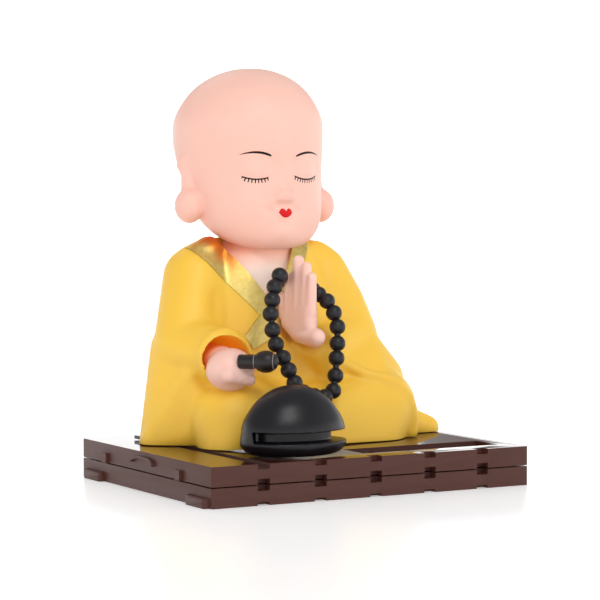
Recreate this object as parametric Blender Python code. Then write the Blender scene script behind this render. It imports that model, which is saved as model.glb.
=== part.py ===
"""A seated child monk in moulded plastic, on a slatted stand, with a wooden-fish drum and a string of beads.

The origin is the centre of the stand's underside, +Z is up and the figure faces -Y. Metres throughout.
"""
import bpy
import bmesh
from math import cos, pi, sin
from mathutils import Matrix, Vector

# Stand: two equal plates, one on the other
STAND_LENGTH = 0.100
STAND_DEPTH = 0.0807
PLATE_THICKNESS = 0.00535
CORNER_RADIUS = 0.0006
SLAT_PITCH = 0.0173
SLAT_NOTCHES = 5
GROOVE_WIDTH = 0.0036
GROOVE_DEPTH = 0.0014
NOTCH_REACH = 0.0027
FOOT_NOTCH_HEIGHT = 0.0009
TRAY_LENGTH = 0.0445
TRAY_WIDTH = 0.011
TRAY_DEPTH = 0.0022
TRAY_FROM_FRONT = 0.0074
TRAY_FROM_END = 0.005
CATCH_SPREAD = 0.0133
CATCH_RISE = 0.0015
CATCH_WIDTH = 0.0008
CATCH_BELOW_TOP = 0.0011
CATCH_PROUD = 0.001
CATCH_STEPS = 8
RIB_FROM_FRONT = 0.0169
RIB_FROM_BACK = 0.0149
RIB_WIDTH = 0.0029
RIB_HEIGHT = 0.0028
BUMPER_FROM_FRONT = 0.0015
BUMPER_FROM_BACK = 0.0038
BUMPER_LENGTH = 0.0109
BUMPER_HEIGHT = 0.0028
BUMPER_PROUD = 0.0017
BUMPER_ROUND = 0.0009

# Panel lying on the stand behind the figure
PANEL_LENGTH = 0.0774
PANEL_THICKNESS = 0.001
PANEL_FROM_BACK = 0.0108
PANEL_GAP = 0.0009

# Figure: its forms are drawn in parts of its own height
FIGURE_HEIGHT = 0.1073
FIGURE_PARTS = 107.3
FIGURE_X = -0.0014
CLEARANCE = 0.0003
LAPEL_RISE = 0.0005
NECK_RADIUS = 0.0094
NECK_PLUG = 0.0025
BEAD_DIAMETER = 0.0046
BEAD_PITCH = 0.0042
BEAD_WAIST = 0.002
MALLET_HANDLE_RADIUS = 0.002

# Wooden fish
FISH_LENGTH = 0.0308
FISH_DEPTH = 0.0226
FISH_HEIGHT = 0.0187
FISH_X = -0.0176
FISH_Y = -0.0260
FISH_MOUTH_BOTTOM = 0.0037
FISH_MOUTH_HEIGHT = 0.0029
FISH_LIP = 0.0042

STAND_TOP = 2 * PLATE_THICKNESS + CLEARANCE
GROUND = STAND_TOP + CLEARANCE
PART = FIGURE_HEIGHT / FIGURE_PARTS

# Room left around a neighbour: how much of the clearance it grows by, and the grain it is melted with
ROOM = 1.6
ROOM_GRAIN = 0.5

SKIN = (0.97, 0.63, 0.52, 1)
YELLOW = (0.90, 0.55, 0.07, 1)
BROWN = (0.12, 0.045, 0.032, 1)
BLACK = (0.018, 0.016, 0.019, 1)


def place(x, y, z):
    """A point of the figure: x from its middle plane, z above the stand, in parts of its height."""
    return Vector((FIGURE_X + x * PART, y * PART, STAND_TOP + z * PART))


# Modelling helpers

def finish(name, colour, roughness):
    """A plastic of one colour."""
    made = bpy.data.materials.new(name)
    made.use_nodes = True
    shader = made.node_tree.nodes["Principled BSDF"]
    shader.inputs["Base Color"].default_value = colour
    shader.inputs["Roughness"].default_value = roughness
    shader.inputs["Metallic"].default_value = 0.0
    made.diffuse_color = colour
    return made


def add_object(name, bm, material=None):
    """Turn a bmesh into an object of the scene."""
    mesh = bpy.data.meshes.new(name)
    bm.to_mesh(mesh)
    bm.free()
    made = bpy.data.objects.new(name, mesh)
    bpy.context.scene.collection.objects.link(made)
    if material:
        mesh.materials.append(material)
    return made


def settle(made):
    """Replace an object's mesh by what its modifiers make of it."""
    graph = bpy.context.evaluated_depsgraph_get()
    mesh = bpy.data.meshes.new_from_object(made.evaluated_get(graph))
    made.modifiers.clear()
    made.data = mesh
    return made


def combine(made, other, operation):
    """One Boolean step, after which the second object is gone."""
    step = made.modifiers.new(operation.title(), "BOOLEAN")
    step.operation = operation
    step.solver = "EXACT"
    step.object = other
    settle(made)
    bpy.data.objects.remove(other)
    return made


def box(name, low, high):
    """A block between two corners."""
    bm = bmesh.new()
    bmesh.ops.create_cube(bm, size=1.0)
    low, high = Vector(low), Vector(high)
    bmesh.ops.scale(bm, vec=high - low, verts=bm.verts)
    bmesh.ops.translate(bm, vec=(low + high) / 2, verts=bm.verts)
    return add_object(name, bm)


def hull(name, points):
    """The convex solid around some points."""
    bm = bmesh.new()
    for point in points:
        bm.verts.new(point)
    wrapped = bmesh.ops.convex_hull(bm, input=bm.verts)
    loose = [item for item in wrapped["geom_interior"] + wrapped["geom_unused"]
             if isinstance(item, bmesh.types.BMVert)]
    bmesh.ops.delete(bm, geom=list(set(loose)), context="VERTS")
    bmesh.ops.recalc_face_normals(bm, faces=bm.faces)
    return add_object(name, bm)


def sphere_points(centre, radii, rows=9, turns=18):
    """Points all over an ellipsoid."""
    points = [centre + Vector((0, 0, radii[2])), centre - Vector((0, 0, radii[2]))]
    for row in range(1, rows):
        height = cos(pi * row / rows)
        girth = sin(pi * row / rows)
        for turn in range(turns):
            angle = 2 * pi * turn / turns
            points.append(centre + Vector((girth * cos(angle) * radii[0],
                                           girth * sin(angle) * radii[1],
                                           height * radii[2])))
    return points


def ball(x, y, z, rx, ry=None, rz=None):
    """An ellipsoid of the figure, in its parts."""
    radii = Vector((rx, ry or rx, rz or rx)) * PART
    return hull("ball", sphere_points(place(x, y, z), radii))


def limb(*ends):
    """The solid wrapped round balls given as (x, y, z, radius), in the figure's parts."""
    points = []
    for x, y, z, radius in ends:
        points += sphere_points(place(x, y, z), Vector((radius, radius, radius)) * PART)
    return hull("limb", points)


def stack(name, rings, turns=40, grow=0.0):
    """A solid through level ovals given as (z, y, half width, half depth), in the figure's parts."""
    bm = bmesh.new()
    loops = []
    for z, y, half_width, half_depth in rings:
        loop = []
        for turn in range(turns):
            angle = 2 * pi * turn / turns
            point = place(half_width * cos(angle), y + half_depth * sin(angle), z)
            point += Vector((cos(angle), sin(angle), 0)) * grow
            loop.append(bm.verts.new(point))
        loops.append(loop)
    for lower, upper in zip(loops, loops[1:]):
        for turn in range(turns):
            after = (turn + 1) % turns
            bm.faces.new((lower[turn], lower[after], upper[after], upper[turn]))
    bm.faces.new(list(reversed(loops[0])))
    bm.faces.new(loops[-1])
    return add_object(name, bm)


def front_prism(name, outline, near, far):
    """A flat outline of (x, z) in the figure's parts, pushed from y = near to y = far."""
    bm = bmesh.new()
    first = [bm.verts.new(place(x, near, z)) for x, z in outline]
    face = bm.faces.new(first)
    pushed = bmesh.ops.extrude_face_region(bm, geom=[face])
    moved = [item for item in pushed["geom"] if isinstance(item, bmesh.types.BMVert)]
    bmesh.ops.translate(bm, vec=(0, (far - near) * PART, 0), verts=moved)
    bmesh.ops.recalc_face_normals(bm, faces=bm.faces)
    return add_object(name, bm)


def fuse(name, pieces, grain, rounds, triangles):
    """Melt overlapping solids into one skin, smooth it and thin it to about so many triangles."""
    merged = bmesh.new()
    for piece in pieces:
        merged.from_mesh(piece.data)
        bpy.data.objects.remove(piece)
    made = add_object(name, merged)
    melt = made.modifiers.new("Melt", "REMESH")
    melt.mode = "VOXEL"
    melt.voxel_size = grain * PART
    if rounds:
        soften = made.modifiers.new("Soften", "SMOOTH")
        soften.factor = 0.5
        soften.iterations = rounds
    settle(made)
    thin = made.modifiers.new("Thin", "DECIMATE")
    thin.ratio = min(1.0, triangles / (2 * len(made.data.polygons)))
    return settle(made)


def leave_room(made, neighbour, triangles=320):
    """Hollow out an object where a neighbour comes within the clearance of it."""
    room = bpy.data.objects.new("room", neighbour.data.copy())
    bpy.context.scene.collection.objects.link(room)
    swell = room.modifiers.new("Swell", "DISPLACE")
    swell.strength = ROOM * CLEARANCE
    swell.mid_level = 0.0
    settle(room)
    return combine(made, fuse("room", [room], ROOM_GRAIN, 0, triangles), "DIFFERENCE")


def keep_above(made, level):
    """Cut an object off flat below a level."""
    below = box("below", (-1, -1, level - 1), (1, 1, level))
    return combine(made, below, "DIFFERENCE")


def dress(made, material, sharp=0.7):
    """Give a finished piece its plastic and its smooth shading."""
    made.data.materials.clear()
    made.data.materials.append(material)
    made.data.shade_smooth()
    made.data.set_sharp_from_angle(angle=sharp)
    return made


# Stand

def notch_places():
    """The middle of each notch in the long edges, along X."""
    return [SLAT_PITCH * (index - (SLAT_NOTCHES - 1) / 2) for index in range(SLAT_NOTCHES)]


def plate(name, low, high):
    """One plate with its upright corners rounded."""
    made = box(name, (-STAND_LENGTH / 2, -STAND_DEPTH / 2, low), (STAND_LENGTH / 2, STAND_DEPTH / 2, high))
    bm = bmesh.new()
    bm.from_mesh(made.data)
    upright = [edge for edge in bm.edges
               if abs(edge.verts[0].co.z - edge.verts[1].co.z) > PLATE_THICKNESS / 2]
    bmesh.ops.bevel(bm, geom=upright, offset=CORNER_RADIUS, segments=4, profile=0.5,
                    affect="EDGES", material=-1)
    bm.to_mesh(made.data)
    bm.free()
    return made


def cut_notches(made, low, high):
    """Notches in the front and back faces, between two levels."""
    for x in notch_places():
        for side in (-1, 1):
            edge = side * STAND_DEPTH / 2
            near, far = sorted((edge - side * NOTCH_REACH, edge + side * NOTCH_REACH))
            notch = box("notch", (x - GROOVE_WIDTH / 2, near, low), (x + GROOVE_WIDTH / 2, far, high))
            combine(made, notch, "DIFFERENCE")


def side_block(side, y, length, low, high, proud):
    """A block that stands out of one end face of a plate and reaches as far into it."""
    root = side * (STAND_LENGTH / 2 - proud)
    tip = side * (STAND_LENGTH / 2 + proud)
    left, right = sorted((root, tip))
    return box("block", (left, y - length / 2, low), (right, y + length / 2, high))


def catch(side):
    """The bow-shaped thumb catch on an end face."""
    bm = bmesh.new()
    root = side * (STAND_LENGTH / 2 - CATCH_PROUD)
    tip = side * (STAND_LENGTH / 2 + CATCH_PROUD)
    feet = STAND_TOP - CATCH_BELOW_TOP - CATCH_RISE
    rows = []
    for step in range(CATCH_STEPS + 1):
        angle = pi * step / CATCH_STEPS
        y = CATCH_SPREAD / 2 * cos(angle)
        top = feet + CATCH_RISE * sin(angle)
        corners = ((root, top - CATCH_WIDTH), (root, top), (tip, top), (tip, top - CATCH_WIDTH))
        rows.append([bm.verts.new((x, y, z)) for x, z in corners])
    for one, two in zip(rows, rows[1:]):
        for corner in range(4):
            after = (corner + 1) % 4
            bm.faces.new((one[corner], one[after], two[after], two[corner]))
    bm.faces.new(rows[0])
    bm.faces.new(list(reversed(rows[-1])))
    bmesh.ops.recalc_face_normals(bm, faces=bm.faces)
    return add_object("catch", bm)


def bumper(side, y):
    """A bumper with a rounded outer edge all round."""
    made = side_block(side, y, BUMPER_LENGTH, 0.0, BUMPER_HEIGHT, BUMPER_PROUD)
    bm = bmesh.new()
    bm.from_mesh(made.data)
    outer = [edge for edge in bm.edges
             if min(side * vert.co.x for vert in edge.verts) > STAND_LENGTH / 2
             and max(vert.co.z for vert in edge.verts) > 0]
    bmesh.ops.bevel(bm, geom=outer, offset=BUMPER_ROUND, segments=2, profile=0.5, affect="EDGES", material=-1)
    bm.to_mesh(made.data)
    bm.free()
    return made


def make_upper_plate(material):
    """Upper plate: notches along its top and seam, one groove, a sunk tray, and catches and ribs at its ends."""
    low = PLATE_THICKNESS + CLEARANCE
    made = plate("base_upper_plate", low, STAND_TOP)
    cut_notches(made, low - GROOVE_DEPTH, low + GROOVE_DEPTH)
    cut_notches(made, STAND_TOP - GROOVE_DEPTH, STAND_TOP + GROOVE_DEPTH)
    groove_x = notch_places()[0]
    groove = box("groove", (groove_x - GROOVE_WIDTH / 2, -STAND_DEPTH, STAND_TOP - GROOVE_DEPTH),
                 (groove_x + GROOVE_WIDTH / 2, STAND_DEPTH, STAND_TOP + GROOVE_DEPTH))
    combine(made, groove, "DIFFERENCE")
    right = STAND_LENGTH / 2 - TRAY_FROM_END
    front = -STAND_DEPTH / 2 + TRAY_FROM_FRONT
    tray = box("tray", (right - TRAY_LENGTH, front, STAND_TOP - TRAY_DEPTH),
               (right, front + TRAY_WIDTH, STAND_TOP + TRAY_DEPTH))
    combine(made, tray, "DIFFERENCE")
    ribs = (RIB_WIDTH / 2 + RIB_FROM_FRONT - STAND_DEPTH / 2, STAND_DEPTH / 2 - RIB_FROM_BACK - RIB_WIDTH / 2)
    for side in (-1, 1):
        combine(made, catch(side), "UNION")
        for y in ribs:
            combine(made, side_block(side, y, RIB_WIDTH, low, low + RIB_HEIGHT, CATCH_PROUD), "UNION")
    return dress(made, material, 0.5)


def make_lower_plate(material):
    """Lower plate: notches at the seam and at the foot, and two rounded bumpers on its left end face."""
    made = plate("base_lower_plate", 0.0, PLATE_THICKNESS)
    cut_notches(made, PLATE_THICKNESS - GROOVE_DEPTH, PLATE_THICKNESS + GROOVE_DEPTH)
    cut_notches(made, -FOOT_NOTCH_HEIGHT, FOOT_NOTCH_HEIGHT)
    for y in (BUMPER_FROM_FRONT + BUMPER_LENGTH / 2 - STAND_DEPTH / 2,
              STAND_DEPTH / 2 - BUMPER_FROM_BACK - BUMPER_LENGTH / 2):
        combine(made, bumper(-1, y), "UNION")
    return dress(made, material, 0.5)


def make_panel(material):
    """Thin panel lying on the stand between the figure's back and the stand's back edge."""
    front = place(0, ROBE_BACK, 0).y + PANEL_GAP
    back = STAND_DEPTH / 2 - PANEL_FROM_BACK
    made = box("solar_panel", (-PANEL_LENGTH / 2, front, GROUND), (PANEL_LENGTH / 2, back, GROUND + PANEL_THICKNESS))
    return dress(made, material, 0.5)


# Robe and chest

TORSO = ((0, 12.6, 33, 10.4), (2.5, 12.8, 33, 10.6), (12, 17.5, 31, 15), (26, 20, 27.5, 15.5), (38, 21.5, 24.5, 14.5),
         (47, 22, 22, 13.2), (53, 22.3, 18.5, 11.8), (57, 22.5, 14.5, 9.8), (59.5, 22.5, 9, 6.5))
ROBE_BACK = 23.4
CHEST = ((26, 20, 26.5, 14.4), (38, 21.5, 23.5, 13.2), (47, 22, 20.5, 11.8), (52.5, 22, 15.4, 10),
         (56, 22, 12, 9), (60, 21.8, 10, 9))

# Neck opening: the line of its point, and the outline of its top with a half oval at the nape
V_TIP_X = -4.4
V_TIP_Z = 39.8
V_TIP_BACK = 14.5
V_FRONT = -5
V_FRONT_CORNERS = (-19.2, 2.5)
V_TOP = 60
V_RISE = 8
V_NAPE_X = -3
V_NAPE_Y = 21
V_NAPE_HALF_WIDTH = 15.5
V_NAPE_HALF_DEPTH = 8.5
V_FLARE = 1.25
V_TIP_STEEPNESS = 1.6
V_NAPE_STEPS = 12


def neck_opening(inset):
    """The wedge that the collar leaves open: a point at the breast, a half oval at the nape."""
    inset = inset / PART
    tip_z = V_TIP_Z + V_TIP_STEEPNESS * inset
    half_width = V_NAPE_HALF_WIDTH - inset
    half_depth = V_NAPE_HALF_DEPTH - inset
    points = [place(V_TIP_X, V_FRONT, tip_z), place(V_TIP_X, V_TIP_BACK, tip_z)]
    left, right = V_FRONT_CORNERS
    for level, flare in ((V_TOP, 1), (V_TOP + V_RISE, V_FLARE)):
        points.append(place((left + inset) * flare, V_FRONT, level))
        points.append(place((right - inset) * flare, V_FRONT, level))
        for step in range(V_NAPE_STEPS + 1):
            angle = pi * step / V_NAPE_STEPS
            points.append(place(V_NAPE_X + half_width * cos(angle) * flare,
                                V_NAPE_Y + half_depth * sin(angle), level))
    return hull("opening", points)


def lapels():
    """The two gold-edged bands, a little proud of the robe, as outlines seen from the front."""
    under = ((-31, 61.5), (-23.1, 52.85), (-17.2, 46.4), (-8.6, 36.6), (0, 28), (4, 33), (-4.4, 39.8),
             (-14.5, 54.3), (-19, 62))
    over = ((13.8, 60), (10.8, 54.9), (8.1, 50.9), (-6.3, 29.3), (-11.2, 26.7), (-13.3, 30.2), (-9.7, 34.5),
            (-4.4, 39.8), (2, 49.5), (8, 62))
    bands = []
    for outline in (under, over):
        band = stack("band", TORSO, grow=LAPEL_RISE)
        combine(band, front_prism("outline", outline, -10, 21), "INTERSECT")
        bands.append(band)
    return bands


def roll(*ends):
    """A soft roll through balls given as (x, y, z, radius): one limb from each to the next."""
    return [limb(one, two) for one, two in zip(ends, ends[1:])]


def robe_masses():
    """The robe's body, sleeves, knees and hanging cloth, before they are melted together."""
    shoulders = [
        limb((-12, 22.5, 49, 7.5), (-21.4, 22, 46.5, 9.3), (-28, 15, 27, 9.3)),
        limb((-17, 21, 53.2, 5.2), (-22, 21.5, 50.3, 6), (-10, 24, 51, 5)),
        limb((12, 22.5, 49, 7.5), (19.2, 22, 46.5, 9.2), (23.2, 18.4, 37.5, 9), (25, 14.5, 29.5, 8.8)),
        limb((12, 21.5, 52.2, 5.6), (18, 21.5, 50.8, 6.2), (20.4, 21.5, 48.6, 6.8)),
    ]
    sleeves = [
        limb((-28, 15, 27, 9.3), (-24, 6, 25.5, 8.6), (-23.6, 0.6, 25, 8.2)),
        limb((-28, 17, 26, 9.3), (-29.6, 16, 12, 8), (-35, 16, 0, 6.6), (-28, 7, 14, 5)),
        limb((-31, 6.6, 20, 3.4), (-33.6, 9.4, 14, 3.2), (-37, 12.8, 6.5, 3.2), (-39, 14.6, 1, 3.4),
             (-27, 8, 5, 7)),
        limb((25.2, 14, 28, 8.8), (11, 5, 25.5, 6.6)),
        limb((26, 12, 24.5, 8.2), (12, 3.4, 21.5, 4.6), (31.8, 10, 15.6, 8.8), (27, 2, 17, 5)),
    ]
    knees = [
        limb((-21.6, 0.8, 7.4, 11.4), (-24.4, -3.4, 1, 8), (0, -3, 1, 8.4), (0, 0, 5, 10.8), (-14, 8, 10, 10)),
        limb((27.6, 2.4, 8.6, 11.8), (23.4, -2.6, 1, 8.8), (4, -3, 1, 8.4), (4, 0, 5, 10.8), (16, 8, 10, 10)),
        limb((35, 8, 4, 6.4), (47.6, 6, 1.2, 3.8), (38, 16, 3, 5)),
    ]
    collar = roll((-19.4, 15, 54.6, 2.6), (-19, 20, 57, 2.7), (-17, 26, 56.4, 2.9), (-10, 30, 54.8, 3),
                  (0, 31, 53.8, 3), (9, 29.4, 54, 3), (14.4, 24, 54.4, 2.9))
    hem = roll((8.6, 0.8, 24.6, 1.6), (13.7, -0.2, 22.6, 1.5), (20.5, -3.6, 18.9, 1.5), (25.4, -5.1, 17.8, 1.6),
               (29.7, -6.4, 15.6, 1.7), (33, -6.4, 12.4, 1.8), (34.6, -5.8, 8, 2), (35.4, -4.6, 1.6, 2.2))
    return [stack("torso", TORSO)] + shoulders + sleeves + knees + collar + hem


def sleeve_hollow():
    """The open end of the right sleeve."""
    return limb((-24.5, -12, 24.8, 8.5), (-24.5, 1, 24.8, 6.3), (-26, 7, 25.5, 5.2))


def make_robe():
    """Robe: melted masses, cut flat on the stand, with the neck opening, the sleeve mouth and the lapels."""
    made = fuse("robe", robe_masses(), 0.9, 6, 1560)
    keep_above(made, GROUND)
    for band in lapels():
        combine(made, band, "UNION")
    combine(made, neck_opening(0.0), "DIFFERENCE")
    combine(made, sleeve_hollow(), "DIFFERENCE")
    return made


def make_chest(material):
    """Chest that fills the neck opening, with the neck on it that plugs into the head."""
    made = stack("neck_and_chest", CHEST)
    combine(made, neck_opening(CLEARANCE), "INTERSECT")
    combine(made, stack("head_room", HEAD, 40, ROOM * CLEARANCE), "DIFFERENCE")
    neck = neck_column(NECK_RADIUS, place(0, 0, 48).z, neck_top())
    combine(neck, neck_opening(CLEARANCE), "INTERSECT")
    combine(made, neck, "UNION")
    return dress(made, material)


# Head

HEAD = ((54.2, 15.6, 4, 3), (55.6, 16.2, 9.6, 6.8), (58, 18.6, 14.2, 10.8), (62, 21.4, 17.7, 14.2),
        (67, 24.4, 19.4, 17.3), (75, 27.2, 21, 18.8), (81, 28.8, 21.8, 20.8), (87, 29.6, 22.2, 22),
        (92.5, 29.4, 21.8, 21.7), (97.5, 29, 19.4, 19.3), (101.8, 28.6, 15.8, 15.7), (105, 28.2, 11, 11),
        (106.8, 28, 5.9, 6), (107.3, 28, 2.2, 2.2))
CHIN_Z = 56.5
NECK_Y = 20.6


def neck_column(radius, low, high):
    """A round neck between two levels."""
    bm = bmesh.new()
    bmesh.ops.create_cone(bm, cap_ends=True, segments=32, radius1=radius, radius2=radius, depth=high - low)
    centre = place(0, NECK_Y, 0)
    bmesh.ops.translate(bm, vec=(centre.x, centre.y, (low + high) / 2), verts=bm.verts)
    return add_object("neck", bm)


def neck_top():
    """The level where the neck ends inside the head."""
    return place(0, 0, CHIN_Z).z + NECK_PLUG


def make_head(material):
    """Head: one egg with full cheeks, ears with long lobes and a small nose."""
    masses = [stack("skull", HEAD, 48)]
    for side in (-1, 1):
        masses.append(ball(side * 22, 27.6, 80, 2.7, 4, 4.4))
        masses.append(limb((side * 21.8, 27.4, 80, 2.2), (side * 21.4, 26.4, 72, 2.6)))
        masses.append(ball(side * 21.9, 24.6, 66.8, 4.2, 5.2, 5.6))
    masses.append(ball(0, 8.6, 70, 2.6, 2.4, 2.6))
    made = fuse("head", masses, 0.8, 3, 1360)
    socket = neck_column(NECK_RADIUS + CLEARANCE, place(0, 0, CHIN_Z - 8).z, neck_top() + CLEARANCE)
    combine(made, socket, "DIFFERENCE")
    return dress(made, material)


# Hands and mallet

FIST = (-23.9, -4, 21.9)
MALLET_START = (-24.1, -9.4, 24.5)
MALLET_HEAD = (-18.3, -14.4, 24.6)
EGG_RADIUS = 3.1
EGG_HALF = 3.6
FINGER_TIPS = ((-0.8, 2.9, 46.7, 1.5), (0.1, -0.4, 51.7, 1.6), (0.9, -3.5, 50.1, 1.4), (1.4, -5.6, 47.2, 1.35))
FINGER_ROOTS = ((-0.9, 3.2, 38, 1.8), (0.1, -0.4, 38, 1.9), (0.8, -3, 38, 1.8), (1.3, -5.1, 38, 1.7))


def mallet_axis():
    """The point where the mallet's handle ends in the fist, and the direction from there to its head."""
    start = place(*MALLET_START)
    return start, (place(*MALLET_HEAD) - start).normalized()


def rod(name, start, direction, length, radius):
    """A round bar along a direction."""
    bm = bmesh.new()
    bmesh.ops.create_cone(bm, cap_ends=True, segments=14, radius1=radius, radius2=radius, depth=length)
    bmesh.ops.translate(bm, vec=(0, 0, length / 2), verts=bm.verts)
    turn = Vector((0, 0, 1)).rotation_difference(direction).to_matrix().to_4x4()
    bmesh.ops.transform(bm, matrix=Matrix.Translation(start) @ turn, verts=bm.verts)
    return add_object(name, bm)


def make_right_hand(material):
    """Closed fist, its wrist in the sleeve, and a hollow for the mallet's handle."""
    x, y, z = FIST
    masses = [ball(x, y, z, 6.9, 6.4, 6.1), limb((x - 0.4, y + 3, z + 1.3, 5), (-25.2, 4.4, 24.8, 4.4))]
    made = fuse("right_hand", masses, 0.6, 3, 400)
    start, direction = mallet_axis()
    reach = (place(*MALLET_HEAD) - start).length
    hollow = rod("hollow", start - direction * CLEARANCE, direction, reach, MALLET_HANDLE_RADIUS + CLEARANCE)
    combine(made, hollow, "DIFFERENCE")
    return dress(made, material)


def make_mallet(material):
    """Mallet: a round handle with an egg-shaped head."""
    start, direction = mallet_axis()
    made = rod("mallet", start, direction, (place(*MALLET_HEAD) - start).length, MALLET_HANDLE_RADIUS)
    bm = bmesh.new()
    bmesh.ops.create_uvsphere(bm, u_segments=14, v_segments=8, radius=1.0)
    bmesh.ops.scale(bm, vec=Vector((EGG_RADIUS, EGG_RADIUS, EGG_HALF)) * PART, verts=bm.verts)
    turn = Vector((0, 0, 1)).rotation_difference(direction).to_matrix().to_4x4()
    bmesh.ops.transform(bm, matrix=Matrix.Translation(place(*MALLET_HEAD)) @ turn, verts=bm.verts)
    combine(made, add_object("mallet_head", bm), "UNION")
    return dress(made, material)


def make_left_hand(material):
    """Flat hand held upright, palm to the figure's right, thumb along its near edge."""
    masses = [limb(root, tip) for root, tip in zip(FINGER_ROOTS, FINGER_TIPS)]
    masses.append(limb((-0.9, 4.6, 38, 2.2), (1.3, -4.6, 38.4, 2.3), (-0.6, 3.6, 34, 2.4), (1.2, -4.2, 33.5, 2.4),
                       (0.3, -0.8, 31, 2.6)))
    masses.append(limb((-1.1, 4.8, 36, 2), (-1.6, 5.4, 41.4, 1.5)))
    masses.append(limb((2.1, -7.2, 30.3, 2.5), (1.2, -3.6, 30.5, 2.8), (0.3, -0.8, 31, 2.6)))
    masses.append(limb((1.6, -3.4, 30.6, 2.9), (6.4, 1.6, 29.4, 3.1)))
    return dress(fuse("left_hand", masses, 0.5, 2, 620), material)


# Beads

BEAD_ROUTE = ((-7.3, -2.6, 47.7), (-9.5, -3.6, 44.6), (-10.9, -4.8, 41), (-12.2, -6.2, 37.2), (-12.5, -7.8, 32.8),
              (-12.3, -9.4, 28.9), (-11.2, -11.4, 25.2), (-10.4, -13.2, 21.9), (-9.2, -14.4, 18.4), (-6.4, -14.4, 15.6),
              (-2.7, -13.9, 14.4), (1.4, -13, 14.3), (5, -11.6, 16.2), (6.2, -10.5, 20.1), (7.4, -9.2, 24.3),
              (8.3, -8.2, 28.4), (9, -7, 33), (8.8, -5.4, 36.9), (7.6, -3.6, 40.2), (6.6, -0.6, 42),
              (6.6, 3.4, 43.3), (4.6, 6.8, 44.8), (0.6, 7.8, 46), (-3.5, 6.1, 46.8), (-5.6, 2.2, 47.3))
BEAD_RINGS = (-0.5, -0.34, 0.0, 0.34)


def smooth_loop(points, per_span):
    """Points along a closed smooth curve through the given ones."""
    count = len(points)
    traced = []
    for index in range(count):
        a, b, c, d = (points[(index + shift) % count] for shift in (-1, 0, 1, 2))
        for step in range(per_span):
            t = step / per_span
            traced.append(0.5 * (2 * b + (c - a) * t + (2 * a - 5 * b + 4 * c - d) * t * t
                                 + (3 * b - a - 3 * c + d) * t * t * t))
    return traced


def spaced_loop(points, spacing):
    """Places at about an even spacing round a closed smooth curve, and the true spacing."""
    traced = smooth_loop(points, 24)
    traced.append(traced[0])
    lengths = [0.0]
    for one, two in zip(traced, traced[1:]):
        lengths.append(lengths[-1] + (two - one).length)
    count = round(lengths[-1] / spacing)
    return traced, lengths, lengths[-1] / count, count


def along(traced, lengths, wanted):
    """The point at a length along a traced curve."""
    wanted %= lengths[-1]
    index = next(order for order, length in enumerate(lengths) if length > wanted)
    share = (wanted - lengths[index - 1]) / (lengths[index] - lengths[index - 1])
    return traced[index - 1].lerp(traced[index], share)


def bead_string(name, grow=0.0):
    """The string in one moulding: round beads with narrow waists, swept round the loop."""
    traced, lengths, pitch, count = spaced_loop([place(*point) for point in BEAD_ROUTE], BEAD_PITCH)
    middle = sum(traced, Vector()) / len(traced)
    radius = BEAD_DIAMETER / 2
    sides = 8
    bm = bmesh.new()
    loops = []
    for bead in range(count):
        for share in BEAD_RINGS:
            offset = share * pitch
            girth = max((radius ** 2 - offset ** 2) ** 0.5 if abs(offset) < radius else 0.0, BEAD_WAIST / 2) + grow
            centre = along(traced, lengths, bead * pitch + offset)
            ahead = along(traced, lengths, bead * pitch + offset + pitch / 8)
            forward = (ahead - centre).normalized()
            side = forward.cross(centre - middle).normalized()
            out = side.cross(forward)
            loops.append([bm.verts.new(centre + (out * cos(2 * pi * turn / sides)
                                                 + side * sin(2 * pi * turn / sides)) * girth)
                          for turn in range(sides)])
    for index, lower in enumerate(loops):
        upper = loops[(index + 1) % len(loops)]
        for turn in range(sides):
            after = (turn + 1) % sides
            bm.faces.new((lower[turn], lower[after], upper[after], upper[turn]))
    bmesh.ops.recalc_face_normals(bm, faces=bm.faces)
    return add_object(name, bm)


def make_beads(material):
    """Prayer beads over the raised hand and down behind the drum."""
    return dress(bead_string("prayer_beads"), material)


# Wooden fish

def fish_rings():
    """The drum's level ovals as (height, share of the full oval)."""
    return ((0.0, 0.76), (0.035, 0.88), (0.10, 0.965), (0.17, 1.0), (0.30, 0.985), (0.40, 0.965), (0.50, 0.925),
            (0.62, 0.84), (0.75, 0.715), (0.86, 0.555), (0.94, 0.38), (0.985, 0.2), (1.0, 0.06))


def oval_stack(name, rings, turns=32):
    """A solid through level ovals given as (z, half width, half depth) in metres, at the drum's place."""
    bm = bmesh.new()
    loops = []
    for z, half_width, half_depth in rings:
        loop = [bm.verts.new((FISH_X + half_width * cos(2 * pi * turn / turns),
                              FISH_Y + half_depth * sin(2 * pi * turn / turns), z)) for turn in range(turns)]
        loops.append(loop)
    for lower, upper in zip(loops, loops[1:]):
        for turn in range(turns):
            after = (turn + 1) % turns
            bm.faces.new((lower[turn], lower[after], upper[after], upper[turn]))
    bm.faces.new(list(reversed(loops[0])))
    bm.faces.new(loops[-1])
    return add_object(name, bm)


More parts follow.
